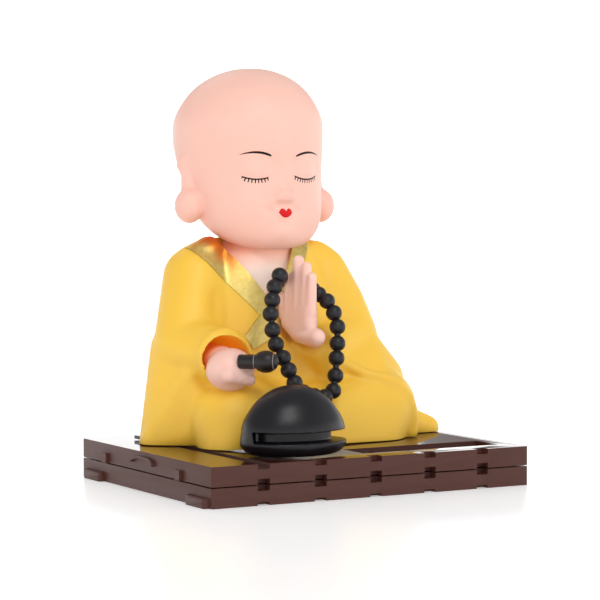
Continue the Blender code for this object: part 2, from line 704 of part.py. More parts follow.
def make_fish(material):
    """Wooden fish: a round drum with a mouth cut round its front and its right end."""
    rings = [(GROUND + height * FISH_HEIGHT, share * FISH_LENGTH / 2, share * FISH_DEPTH / 2)
             for height, share in fish_rings()]
    made = oval_stack("wooden_fish", rings)
    low = GROUND + FISH_MOUTH_BOTTOM
    high = low + FISH_MOUTH_HEIGHT
    mouth = oval_stack("mouth", ((low, FISH_LENGTH, FISH_DEPTH), (high, FISH_LENGTH, FISH_DEPTH)))
    core = oval_stack("core", ((low - FISH_LIP, FISH_LENGTH / 2 - FISH_LIP, FISH_DEPTH / 2 - FISH_LIP),
                               (high + FISH_LIP, FISH_LENGTH / 2 - FISH_LIP, FISH_DEPTH / 2 - FISH_LIP)))
    combine(mouth, core, "DIFFERENCE")
    back = box("back", (-1, FISH_Y + FISH_DEPTH / 4, -1), (1, 1, 1))
    combine(mouth, back, "DIFFERENCE")
    left = box("left", (-1, -1, -1), (FISH_X - FISH_LENGTH / 2 + FISH_LIP / 4, 1, 1))
    combine(mouth, left, "DIFFERENCE")
    combine(made, mouth, "DIFFERENCE")
    return dress(made, material, 0.6)


def main():
    """Clear the scene and build every piece."""
    for existing in list(bpy.data.objects):
        bpy.data.objects.remove(existing)
    brown = finish("brown_plastic", BROWN, 0.35)
    yellow = finish("yellow_plastic", YELLOW, 0.5)
    skin = finish("skin_plastic", SKIN, 0.45)
    black = finish("black_plastic", BLACK, 0.4)
    panel = finish("panel_black", BLACK, 0.2)
    drum = finish("drum_black", BLACK, 0.35)
    handle = finish("mallet_black", BLACK, 0.5)
    make_lower_plate(brown)
    make_upper_plate(brown)
    make_panel(panel)
    robe = make_robe()
    make_head(skin)
    make_beads(black)
    right_hand = make_right_hand(skin)
    left_hand = make_left_hand(skin)
    combine(left_hand, bead_string("bead_room", CLEARANCE), "DIFFERENCE")
    dress(left_hand, skin)
    make_chest(skin)
    combine(robe, stack("head_room", HEAD, 40, ROOM * CLEARANCE), "DIFFERENCE")
    for neighbour in (right_hand, left_hand):
        leave_room(robe, neighbour)
    combine(robe, bead_string("bead_room", CLEARANCE), "DIFFERENCE")
    dress(robe, yellow)
    make_mallet(handle)
    make_fish(drum)


main()
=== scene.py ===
# %% [markdown]
# # A seated monk in moulded plastic
#
# This lesson dresses a small desk ornament: a child monk in a yellow robe who kneels on a brown slatted
# stand, with a mallet, a string of beads and a black drum. The real one is a handful of plastic mouldings.
# A solid model gives every piece its place, and here each piece gets its finer form and its finish.

# %% Load the fixed frame
from math import cos, exp, pi, radians, sin

import bmesh
import bpy
from mathutils import Matrix, Vector


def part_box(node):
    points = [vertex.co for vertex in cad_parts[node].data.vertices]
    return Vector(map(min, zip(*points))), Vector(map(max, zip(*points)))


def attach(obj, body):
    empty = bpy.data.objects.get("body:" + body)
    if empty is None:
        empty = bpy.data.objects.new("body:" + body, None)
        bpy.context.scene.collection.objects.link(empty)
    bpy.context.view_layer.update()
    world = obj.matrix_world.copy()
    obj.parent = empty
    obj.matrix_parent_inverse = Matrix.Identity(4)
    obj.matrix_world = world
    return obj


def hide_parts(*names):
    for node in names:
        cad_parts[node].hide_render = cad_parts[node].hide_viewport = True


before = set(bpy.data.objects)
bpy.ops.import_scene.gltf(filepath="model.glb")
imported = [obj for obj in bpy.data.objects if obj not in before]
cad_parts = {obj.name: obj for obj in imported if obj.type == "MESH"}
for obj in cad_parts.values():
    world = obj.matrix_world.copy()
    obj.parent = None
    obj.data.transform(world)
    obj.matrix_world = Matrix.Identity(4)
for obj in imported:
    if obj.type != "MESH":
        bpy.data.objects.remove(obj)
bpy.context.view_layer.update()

print("solids:", sorted(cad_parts))

# %% [markdown]
# The figure is drawn in millimetres: x from its middle plane, y from front to back, and z above the stand.
# One helper turns such a point into the frame's metres, so a size reads like one taken with a ruler.

# %% A ruler for the figure
MM = 0.001
GAP = 0.0003
FIGURE_X = -0.0014
stand_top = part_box("base_upper_plate")[1].z
ground = stand_top + GAP


def place(x, y, z):
    """A point of the figure, given in millimetres, as a point of the frame."""
    return Vector((FIGURE_X + x * MM, y * MM, stand_top + z * MM))


print("top of the stand at", round(stand_top / MM, 2), "mm")

# %% [markdown]
# The camera stands in front of the figure's right shoulder, hardly above the middle of its robe, with a
# long lens. A long lens keeps the stand's edges almost parallel, as in a shop photograph.

# %% Camera
CAMERA_PLACE = Vector((-0.31779, -0.55359, 0.08133))
CAMERA_TURN = radians(-29.81)
CAMERA_PITCH = radians(2.674)
LENS = 134.9

camera = bpy.data.objects.new("camera", bpy.data.cameras.new("camera"))
camera.data.lens = LENS
camera.data.sensor_width = 36
camera.data.clip_start = 0.01
camera.location = CAMERA_PLACE
camera.rotation_euler = (radians(90) - CAMERA_PITCH, 0, CAMERA_TURN)
bpy.context.scene.collection.objects.link(camera)
bpy.context.scene.camera = camera
print("camera is", round(CAMERA_PLACE.length, 3), "m from the stand")

# %% [markdown]
# The ornament rests on white card, with a low white wall all round it, far off, as in a light tent. Both
# glow a little by themselves, as card does that is lit from behind, so they stay white while the soft
# lamps shape the figure. The sky above is dimmer than the wall, so that tops and folds keep some shade.

# %% Floor, wall and soft lights
TENT_RADIUS = 3.0
TENT_WALL = 0.7
TENT_SIDES = 96
SKY = 0.5
LIT_SPOT = Vector((0, 0, 0.05))
LAMPS = (("key", (-0.16, -0.85, 0.95), 0.5, 5.0), ("fill", (0.95, -0.35, 0.45), 0.7, 0.35),
         ("back", (0.1, 0.9, 0.9), 0.6, 1.2))


def corners(items):
    """The corner points among what a bmesh step made."""
    return [item for item in items if isinstance(item, bmesh.types.BMVert)]


def add_object(name, bm):
    """Turn a bmesh into an object at the origin."""
    mesh = bpy.data.meshes.new(name)
    bm.to_mesh(mesh)
    bm.free()
    made = bpy.data.objects.new(name, mesh)
    bpy.context.scene.collection.objects.link(made)
    return made


def lamp(name, spot, size, watts):
    """A square soft lamp that looks at the figure."""
    light = bpy.data.lights.new(name, "AREA")
    light.size = size
    light.energy = watts
    made = bpy.data.objects.new(name, light)
    made.location = spot
    made.rotation_euler = (LIT_SPOT - Vector(spot)).to_track_quat("-Z", "Y").to_euler()
    bpy.context.scene.collection.objects.link(made)


bm = bmesh.new()
bmesh.ops.create_circle(bm, cap_ends=True, segments=TENT_SIDES, radius=TENT_RADIUS)
card = add_object("card", bm)
bm = bmesh.new()
bmesh.ops.create_circle(bm, cap_ends=False, segments=TENT_SIDES, radius=TENT_RADIUS)
raised = bmesh.ops.extrude_edge_only(bm, edges=bm.edges)["geom"]
bmesh.ops.translate(bm, vec=(0, 0, TENT_WALL), verts=corners(raised))
wall = add_object("tent_wall", bm)
for name, spot, size, watts in LAMPS:
    lamp(name, spot, size, watts)

world = bpy.data.worlds.new("tent")
world.use_nodes = True
world.node_tree.nodes["Background"].inputs["Color"].default_value = (1, 1, 1, 1)
world.node_tree.nodes["Background"].inputs["Strength"].default_value = SKY
bpy.context.scene.world = world
bpy.context.scene.view_settings.view_transform = "Standard"
print("lamps:", [lamp_facts[0] for lamp_facts in LAMPS])

# %% [markdown]
# A finish is a small calculation: a little noise shifts the colour, a pattern sets how rough a spot is.
# Writing such sums as plain expressions is easier to read than wiring nodes by hand, so one class stands
# for a value that a node gives, and its operators add the Math nodes.

# %% Shader sums as expressions
class Value:
    """What a node gives out, ready for a sum."""

    def __init__(self, finish, socket):
        self.finish = finish
        self.socket = socket

    def _sum(self, operation, *terms):
        return self.finish.node("ShaderNodeMath", {"operation": operation}, dict(enumerate(terms)))

    def __add__(self, other):
        return self._sum("ADD", self, other)

    def __radd__(self, other):
        return self._sum("ADD", other, self)

    def __sub__(self, other):
        return self._sum("SUBTRACT", self, other)

    def __rsub__(self, other):
        return self._sum("SUBTRACT", other, self)

    def __mul__(self, other):
        return self._sum("MULTIPLY", self, other)

    def __rmul__(self, other):
        return self._sum("MULTIPLY", other, self)

    def __truediv__(self, other):
        return self._sum("DIVIDE", self, other)

    def __pow__(self, other):
        return self._sum("POWER", self, other)

    def __abs__(self):
        return self._sum("ABSOLUTE", self)

    def fraction(self):
        """What is left above the next lower whole number."""
        return self._sum("FRACT", self)

    def step(self, low, high):
        """0 below low and 1 above high, with a soft edge between."""
        return self.finish.node("ShaderNodeMapRange", {"interpolation_type": "SMOOTHSTEP"},
                                {0: self, 1: low, 2: high})


class Finish:
    """One material, built up from sums."""

    def __init__(self, name, roughness=0.5, metallic=0.0):
        self.material = bpy.data.materials.new(name)
        self.material.use_nodes = True
        self.tree = self.material.node_tree
        self.shader = self.tree.nodes["Principled BSDF"]
        self.set("Roughness", roughness)
        self.set("Metallic", metallic)

    def node(self, kind, settings=None, sockets=None, gives=0):
        """Add a node: its settings first, then the values or links of its sockets."""
        made = self.tree.nodes.new(kind)
        for key, value in (settings or {}).items():
            setattr(made, key, value)
        for key, value in (sockets or {}).items():
            self.feed(made.inputs[key], value)
        return Value(self, made.outputs[gives])

    def feed(self, socket, value):
        """Link a value to a socket, or write a plain number there."""
        if isinstance(value, Value):
            self.tree.links.new(value.socket, socket)
        else:
            socket.default_value = value

    def set(self, name, value):
        """Feed one of the shader's own sockets."""
        self.feed(self.shader.inputs[name], value)

    def spot(self):
        """The place on the piece, in the frame's metres."""
        return self.node("ShaderNodeTexCoord", gives="Object")

    def along(self, start, direction):
        """How many millimetres a place lies from start along a direction."""
        reach = self.node("ShaderNodeVectorMath", {"operation": "DOT_PRODUCT"},
                          {0: self.spot(), 1: direction}, "Value")
        return (reach - start.dot(direction)) / MM

    def parts(self):
        """The place's x, y and z as the figure's own ruler gives them."""
        return [self.along(place(0, 0, 0), Vector(axis)) for axis in ((1, 0, 0), (0, 1, 0), (0, 0, 1))]

    def noise(self, grain, detail=2.0):
        """Soft noise whose lumps are about so many millimetres across."""
        return self.node("ShaderNodeTexNoise", None,
                         {"Vector": self.spot(), "Scale": 1 / (grain * MM), "Detail": detail}, "Fac")

    def blend(self, first, second, share):
        """Mix two colours."""
        return self.node("ShaderNodeMix", {"data_type": "RGBA"}, {0: share, 6: first, 7: second}, 2)

    def relief(self, height, depth):
        """Bump of a height of 0 to 1 that is so many millimetres deep."""
        self.set("Normal", self.node("ShaderNodeBump", None,
                                     {"Height": height, "Distance": depth * MM, "Strength": 1.0}))


def srgb(red, green, blue):
    """A colour from 0 to 255 as the linear colour that a shader takes."""
    linear = [((c / 255 + 0.055) / 1.055) ** 2.4 if c > 10 else c / 255 / 12.92 for c in (red, green, blue)]
    return (*linear, 1.0)


# %% [markdown]
# The card only has to stay pale, and catch a soft shadow and a faint mirror image of the stand.

# %% Card and wall
CARD_GLOW = 0.33
WALL_GLOW = 1.0


def white_card(name, glow, roughness):
    """White card with some light coming through it."""
    made = Finish(name, roughness)
    made.set("Base Color", made.blend(srgb(240, 240, 241), srgb(246, 246, 246), made.noise(60)))
    made.shader.inputs["Emission Color"].default_value = (1, 1, 1, 1)
    made.shader.inputs["Emission Strength"].default_value = glow
    return made


card.data.materials.append(white_card("white_card", CARD_GLOW, 0.3).material)
wall.data.materials.append(white_card("white_wall", WALL_GLOW, 0.8).material)
print("card:", card.data.materials[0].name)

# %% [markdown]
# Moulded plastic is never one flat colour. The pigment clouds a little, the mould leaves a fine even
# grain, and light goes some way into it, which keeps the shadows warm. All plastics here share this.

# %% Plastics
CLOUD_SIZE = 14
GRAIN_SIZE = 0.35
ROUGHNESS_SPREAD = 0.10
LIGHT_REACH = 2
SKIN_DEPTH = 0.4
SKIN_TINT = (1, 0.42, 0.3)


def plastic(name, colour, shade, roughness, depth=0.0, reach=SKIN_TINT, relief=0.006, shine=0.5):
    """A moulded plastic: colour clouding to a shade, a fine mould grain and some depth under the surface."""
    made = Finish(name)
    made.shader.inputs["Specular IOR Level"].default_value = shine
    cloud = made.noise(CLOUD_SIZE, 3)
    fine = made.noise(GRAIN_SIZE, 2)
    made.colour = made.blend(srgb(*colour), srgb(*shade), cloud)
    made.set("Base Color", made.colour)
    made.set("Roughness", fine * ROUGHNESS_SPREAD + (roughness - ROUGHNESS_SPREAD / 2))
    made.relief(fine, relief)
    if depth:
        made.shader.inputs["Subsurface Weight"].default_value = depth
        made.shader.inputs["Subsurface Radius"].default_value = reach
        made.shader.inputs["Subsurface Scale"].default_value = LIGHT_REACH * MM
    return made


yellow = plastic("yellow_plastic", (250, 203, 72), (247, 196, 62), 0.50, 0.3, (1, 0.4, 0.06))
face = plastic("face_plastic", (251, 201, 186), (249, 195, 179), 0.40, SKIN_DEPTH, shine=0.2)
# The chest's plastic is a lighter copy of the skin: painted light that offsets the head's shadow on the
# chest.
chest_skin_painted_light = plastic("chest_painted_light_plastic", (255, 231, 219), (254, 226, 213), 0.45, SKIN_DEPTH)
hand_skin = plastic("hand_plastic", (252, 206, 192), (250, 199, 184), 0.42, SKIN_DEPTH)
bead_black = plastic("bead_plastic", (26, 24, 28), (21, 19, 23), 0.42, relief=0.012, shine=0.4)
drum_black = plastic("drum_plastic", (22, 19, 24), (17, 15, 19), 0.34, relief=0.006, shine=0.32)
mallet_black = plastic("mallet_plastic", (36, 26, 27), (28, 22, 23), 0.42, relief=0.008, shine=0.4)
panel_black = plastic("panel_plastic", (22, 24, 34), (16, 17, 26), 0.14, relief=0.0)
print("plastics:", sorted(m.name for m in bpy.data.materials if m.name.endswith("plastic")))

# %% [markdown]
# Where light has to cross thin coloured plastic it comes out deeper in colour; here that light is painted.
# Inside the sleeve's mouth the yellow is painted orange and glows by itself, the wrist in the sleeve gets a
# painted orange shade and the neck under the chin a painted warm shade.

# %% Painted glow and shade in the warm hollows
SLEEVE_X = -24.3
SLEEVE_Z = 24.9
SLEEVE_EDGE = (5.8, 7.6)
SLEEVE_FRONT = (-3.5, 0.5)
SLEEVE_END = (9, 12)
# Painted glow: inside the sleeve's mouth the base colour turns orange and the plastic gives off orange light.
SLEEVE_PAINTED_GLOW_COLOUR = srgb(246, 178, 60)
PAINTED_GLOW = srgb(205, 128, 6)
PAINTED_GLOW_STRENGTH = 0.3
# Painted orange shade for the wrist where it goes into the sleeve.
WRIST_PAINTED_SHADE = srgb(246, 140, 70)
# Painted warm shade for the neck under the chin.
NECK_PAINTED_SHADE = srgb(238, 150, 112)
BLACK = (0, 0, 0, 1)

x, y, z = yellow.parts()
from_middle = ((x - SLEEVE_X) ** 2 + (z - SLEEVE_Z) ** 2) ** 0.5
# This mask marks where the glow is painted inside the sleeve's mouth.
inside = (1 - from_middle.step(*SLEEVE_EDGE)) * y.step(*SLEEVE_FRONT) * (1 - y.step(*SLEEVE_END))
yellow.set("Base Color", yellow.blend(yellow.colour, SLEEVE_PAINTED_GLOW_COLOUR, inside))
yellow.set("Emission Color", yellow.blend(BLACK, PAINTED_GLOW, inside))
yellow.shader.inputs["Emission Strength"].default_value = PAINTED_GLOW_STRENGTH

x, y, z = hand_skin.parts()
# The wrist's mask: where the painted orange shade goes.
wrist = (1 - x.step(-16, -12)) * y.step(-2.5, 1.5)
hand_skin.set("Base Color", hand_skin.blend(hand_skin.colour, WRIST_PAINTED_SHADE, wrist))

x, y, z = chest_skin_painted_light.parts()
# Painted warm shade on the neck under the chin, rising towards the head.
chest_skin_painted_light.set("Base Color", chest_skin_painted_light.blend(chest_skin_painted_light.colour, NECK_PAINTED_SHADE, z.step(47, 58)))
print("warm hollows:", len(yellow.tree.nodes), "nodes in the robe's finish")

# %% [markdown]
# The face is not moulded but printed: two thin brows, two rows of lashes on closed lids and a small red
# mouth. A print is a mask over the skin colour. Each mark is a curve in the figure's own x and z: the mask
# is full where a point lies closer to the curve than the line is wide, and 0 behind the ears.

# %% Printed face
BROWS = ((-8.4, 82.5, -12.7, -3.6), (9.6, 82.6, 14.1, 4.5))
BROW_BEND = -0.044
BROW_WIDTH = 1.2
LIDS = ((-7.9, 74.8, -11.9, -4.6), (8.3, 74.85, 3.9, 12.9))
LID_BEND = 0.048
LID_WIDTH = 0.52
LASH_PITCH = 0.86
LASH_LENGTH = 1.15
LASH_WIDTH = 0.5
LASH_TAPER = 0.14
LASH_FAN = 0.10
LIPS = (0.1, 66.5, 63.85)
LIP_ENDS = (-2.75, 2.2)
LIP_PEAK = 1.05
LIP_BENDS = (-0.72, 0.27)
EARS_START = (16, 20)
SOFT = 0.05
INK = srgb(14, 1, 1)
RED = srgb(216, 22, 28)


def between(value, low, high, soft=SOFT):
    """A mask that is full between two values."""
    return value.step(low - soft, low + soft) * (1 - value.step(high - soft, high + soft))


def thinner_than(distance, width):
    """A mask that is full where a distance is under half a width."""
    return (width * 0.5 - SOFT - abs(distance)).step(-SOFT, SOFT)


x, y, z = face.parts()
front = 1 - y.step(*EARS_START)
ink = None
for middle, top, tip, root in BROWS:
    run = (x - tip) / (root - tip)
    swell = (run ** 0.55) * ((1 - run) ** 0.18) * between(run, 0, 1, 0.01)
    brow = thinner_than(z - (top + BROW_BEND * (x - middle) ** 2), swell * BROW_WIDTH)
    ink = brow if ink is None else ink + brow
for middle, low, left, right in LIDS:
    below = (low + LID_BEND * (x - middle) ** 2) - z
    lid = thinner_than(below, LID_WIDTH) * between(x, left, right)
    fan = (x - middle) * (1 - below * LASH_FAN)
    lash = abs((fan / LASH_PITCH).fraction() - 0.5) * LASH_PITCH
    lashes = thinner_than(lash, LASH_WIDTH - below * LASH_TAPER) * between(below, 0, LASH_LENGTH)
    ink = ink + lid + lashes * between(x, left, right)
middle, top, low = LIPS
upper = top + LIP_BENDS[0] * (abs(x - middle) - LIP_PEAK) ** 2
lower = low + LIP_BENDS[1] * (x - middle) ** 2
lips = (upper - z).step(-SOFT, SOFT) * (z - lower).step(-SOFT, SOFT) * between(x, *LIP_ENDS)
printed = face.blend(face.colour, INK, (ink * front).step(0.0, 1.0))
face.set("Base Color", face.blend(printed, RED, lips * front))
print("face print:", len(face.tree.nodes), "nodes")

# %% [markdown]
# The lapels are gold foil hot-pressed on the plastic. Foil is a metal with a fine crinkle, so each tiny
# facet mirrors another part of the room and the band sparkles. Along the under lapel's inner edge a painted
# reflection of the warm robe and chin turns the gold to bronze. Both masks are measured from the collar's
# lowest point.

# %% Gold foil
V_TIP = (-4.4, 39.8)
CRINKLE_SIZE = 0.45
CRINKLE_DEPTH = 0.05
# Colour of the painted reflection of the warm robe and chin in the foil.
PAINTED_REFLECTION = srgb(214, 104, 22)
PAINTED_REFLECTION_ACROSS = (-1, 3.6, 1.8)
PAINTED_REFLECTION_ALONG = (13, 28, 5)
LAPEL_SLOPE = (-0.57, 0.822)

foil = Finish("gold_foil", metallic=1.0)
crinkle = foil.node("ShaderNodeTexVoronoi", {"feature": "SMOOTH_F1"},
                    {"Vector": foil.spot(), "Scale": 1 / (CRINKLE_SIZE * MM), "Smoothness": 0.6}, "Distance")
foil_grain = foil.noise(0.25, 3)
pale = foil.blend(srgb(200, 170, 84), srgb(238, 216, 136), foil.noise(1.1, 3))
tip = place(V_TIP[0], 0, V_TIP[1])
across = foil.along(tip, Vector((-LAPEL_SLOPE[1], 0, LAPEL_SLOPE[0])))
upward = foil.along(tip, Vector((LAPEL_SLOPE[0], 0, LAPEL_SLOPE[1])))
# Mask of the painted reflection along the under lapel's inner edge.
painted_reflection_mask = between(across, *PAINTED_REFLECTION_ACROSS) * between(upward, *PAINTED_REFLECTION_ALONG)
foil.set("Base Color", foil.blend(pale, PAINTED_REFLECTION, painted_reflection_mask * 0.85))
foil.set("Roughness", foil_grain * 0.22 + 0.26)
foil.relief(crinkle * 0.5 + foil_grain, CRINKLE_DEPTH)
print("foil:", len(foil.tree.nodes), "nodes")

# %% [markdown]
# The stand's upper plate came out of a polished mould on top and a plain one at its sides. Which face a
# point is on shows in its normal: where it points up, the finish is glossy, elsewhere it is satin.

# %% Brown plastic of the stand
FACES_UP = (0.9, 0.99)


def stand_plastic(name, gloss):
    """Brown plastic that is satin at its sides and as smooth as given on top."""
    made = Finish(name)
    cloud = made.noise(9, 3)
    fine = made.noise(0.3, 2)
    up = made.node("ShaderNodeSeparateXYZ", None, {0: made.node("ShaderNodeNewGeometry", gives="Normal")}, 2)
    top = up.step(*FACES_UP)
    made.shader.inputs["Specular IOR Level"].default_value = 0.3
    made.set("Base Color", made.blend(srgb(80, 44, 35), srgb(72, 38, 30), cloud))
    made.set("Roughness", (fine * 0.12 + 0.38) * (1 - top) + top * gloss)
    made.relief(fine * (1 - top), 0.008)
    return made


stand_upper = stand_plastic("stand_polished", 0.06)
stand_lower = stand_plastic("stand_satin", 0.3)
print("stand finishes:", stand_upper.material.name, stand_lower.material.name)

# %% [markdown]
# The body forms are soft, so they are laid up like clay: balls and limbs overlap, then they are melted
# into one skin and smoothed. A limb is the tight wrapping round a few balls, which bmesh gives as a hull.

# %% Clay: balls, limbs and stacks
def settle(made):
    """Replace an object's mesh by what its modifiers make of it."""
    graph = bpy.context.evaluated_depsgraph_get()
    mesh = bpy.data.meshes.new_from_object(made.evaluated_get(graph))
    made.modifiers.clear()
    made.data = mesh
    return made


def ball(x, y, z, rx, ry=None, rz=None):
    """An ellipsoid."""
    bm = bmesh.new()
    bmesh.ops.create_icosphere(bm, subdivisions=4, radius=MM)
    bmesh.ops.scale(bm, vec=(rx, ry or rx, rz or rx), verts=bm.verts)
    bmesh.ops.translate(bm, vec=place(x, y, z), verts=bm.verts)
    return add_object("ball", bm)


def wrap(name, bm):
    """The tight wrapping round all points of a bmesh."""
    wrapped = bmesh.ops.convex_hull(bm, input=bm.verts)
    inside = set(corners(wrapped["geom_interior"] + wrapped["geom_unused"]))
    bmesh.ops.delete(bm, geom=list(inside), context="VERTS")
    hull = set(wrapped["geom"])
    bmesh.ops.delete(bm, geom=[side for side in bm.faces if side not in hull], context="FACES_ONLY")
    bmesh.ops.delete(bm, geom=[edge for edge in bm.edges if not edge.link_faces], context="EDGES")
    bmesh.ops.recalc_face_normals(bm, faces=bm.faces)
    return add_object(name, bm)


def limb(*ends):
    """The tight wrapping round balls given as (x, y, z, radius)."""
    bm = bmesh.new()
    for x, y, z, radius in ends:
        made = bmesh.ops.create_icosphere(bm, subdivisions=3, radius=radius * MM)
        bmesh.ops.translate(bm, vec=place(x, y, z), verts=made["verts"])
    bmesh.ops.delete(bm, geom=bm.edges[:], context="EDGES_FACES")
    return wrap("limb", bm)


def roll(*ends):
    """A soft roll through balls given as (x, y, z, radius): one limb from each to the next."""
    return [limb(one, two) for one, two in zip(ends, ends[1:])]


def smooth_rings(rings, per_span):
    """More rings, along a smooth curve through the given ones."""
    filled = []
    for index in range(len(rings) - 1):
        before = rings[max(index - 1, 0)]
        after = rings[min(index + 2, len(rings) - 1)]
        for step in range(per_span):
            t = step / per_span
            filled.append([0.5 * (2 * b + (c - a) * t + (2 * a - 5 * b + 4 * c - d) * t * t
                                  + (3 * b - a - 3 * c + d) * t ** 3)
                           for a, b, c, d in zip(before, rings[index], rings[index + 1], after)])
    return filled + [list(rings[-1])]


def stack(name, rings, turns=96, per_span=5):
    """A solid through level ovals given as (z, y, half width, half depth)."""
    bm = bmesh.new()
    last = []
    for z, y, half_width, half_depth in smooth_rings(rings, per_span):
        made = bmesh.ops.create_circle(bm, cap_ends=False, segments=turns, radius=1.0)["verts"]
        bmesh.ops.scale(bm, vec=(half_width * MM, half_depth * MM, 1), verts=made)
        bmesh.ops.translate(bm, vec=place(0, y, z), verts=made)
        ring = list({edge for vert in made for edge in vert.link_edges})
        if last:
            bmesh.ops.bridge_loops(bm, edges=last + ring)
        last = ring
    bmesh.ops.holes_fill(bm, edges=[edge for edge in bm.edges if edge.is_boundary], sides=0)
    bmesh.ops.recalc_face_normals(bm, faces=bm.faces)
    return add_object(name, bm)


def fuse(name, pieces, grain, rounds):
    """Melt overlapping solids into one skin with so fine a grain in millimetres, and smooth it."""
    merged = bmesh.new()
    for piece in pieces:
        merged.from_mesh(piece.data)
        bpy.data.objects.remove(piece)
    made = add_object(name, merged)
    melt = made.modifiers.new("Melt", "REMESH")
    melt.mode = "VOXEL"
    melt.voxel_size = grain * MM
    soften = made.modifiers.new("Soften", "SMOOTH")
    soften.factor = 0.5
    soften.iterations = rounds
    return settle(made)


def combine(made, other, operation):
    """One Boolean step, after which the second object is gone."""
    step = made.modifiers.new(operation.title(), "BOOLEAN")
    step.operation = operation
    step.solver = "EXACT"
    step.object = other
    settle(made)
    bpy.data.objects.remove(other)
    return made


def slice_off(made, spot, outward):
    """Cut off what lies beyond a plane and close the cut."""
    bm = bmesh.new()
    bm.from_mesh(made.data)
    bmesh.ops.bisect_plane(bm, geom=bm.verts[:] + bm.edges[:] + bm.faces[:], plane_co=spot, plane_no=outward,
                           clear_outer=True)
    bmesh.ops.holes_fill(bm, edges=[edge for edge in bm.edges if edge.is_boundary], sides=0)
    bm.to_mesh(made.data)
    bm.free()
    return made


def press(made, *marks):
    """Raise or sink soft spots, given as (x, y, z, reach, height), along the surface's own normals."""
    spots = [(place(x, y, z), (reach * MM) ** 2, height * MM) for x, y, z, reach, height in marks]
    bm = bmesh.new()
    bm.from_mesh(made.data)
    for vert in bm.verts:
        lift = 0.0
        for spot, reach, height in spots:
            away = (vert.co - spot).length_squared / reach
            if away < 6:
                lift += height * exp(-away)
        vert.co += vert.normal * lift
    bm.to_mesh(made.data)
    bm.free()
    return made


CRISP = 0.8
TURNED = 0.9
BEVELLED = 0.3


def dress(made, finish, slot, *nodes, sharp=None):
    """Give a piece its finish and shading, let it ride on the body and stand for its nodes."""
    made.data.materials.clear()
    made.data.materials.append(finish.material)
    made.data.shade_smooth()
    if sharp:
        made.data.set_sharp_from_angle(angle=sharp)
    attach(made, "root")
    if nodes:
        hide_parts(*nodes)
    print(made.name, len(made.data.polygons), "faces")
    return made


print("clay tools ready")

# %% [markdown]
# The robe is one moulding: a bell for the body, two sleeves with the arms bent inside them, knees under
# the skirt and a tail of cloth at the side. The sleeves' hems are rolls of cloth, pressed on before the
# melting, so they stand out as soft ridges with a shadow under them.

# %% Robe masses
CUFF_MIDDLE = Vector((-24.1, -1.2, 24.9))
CUFF_RING = 7.5
CUFF_LIP = 1.4
ROBE_GRAIN = 0.6
ROBE_ROUNDS = 6
TORSO = ((0, 12.6, 33, 10.4), (2.5, 12.8, 33, 10.6), (12, 17.5, 31, 15), (26, 20, 27.5, 15.5),
         (38, 21.5, 24.5, 14.5), (47, 22, 22, 13.2), (53, 22.3, 18.5, 11.8), (57, 22.5, 14.5, 9.8),
         (59.5, 22.5, 9, 6.5))


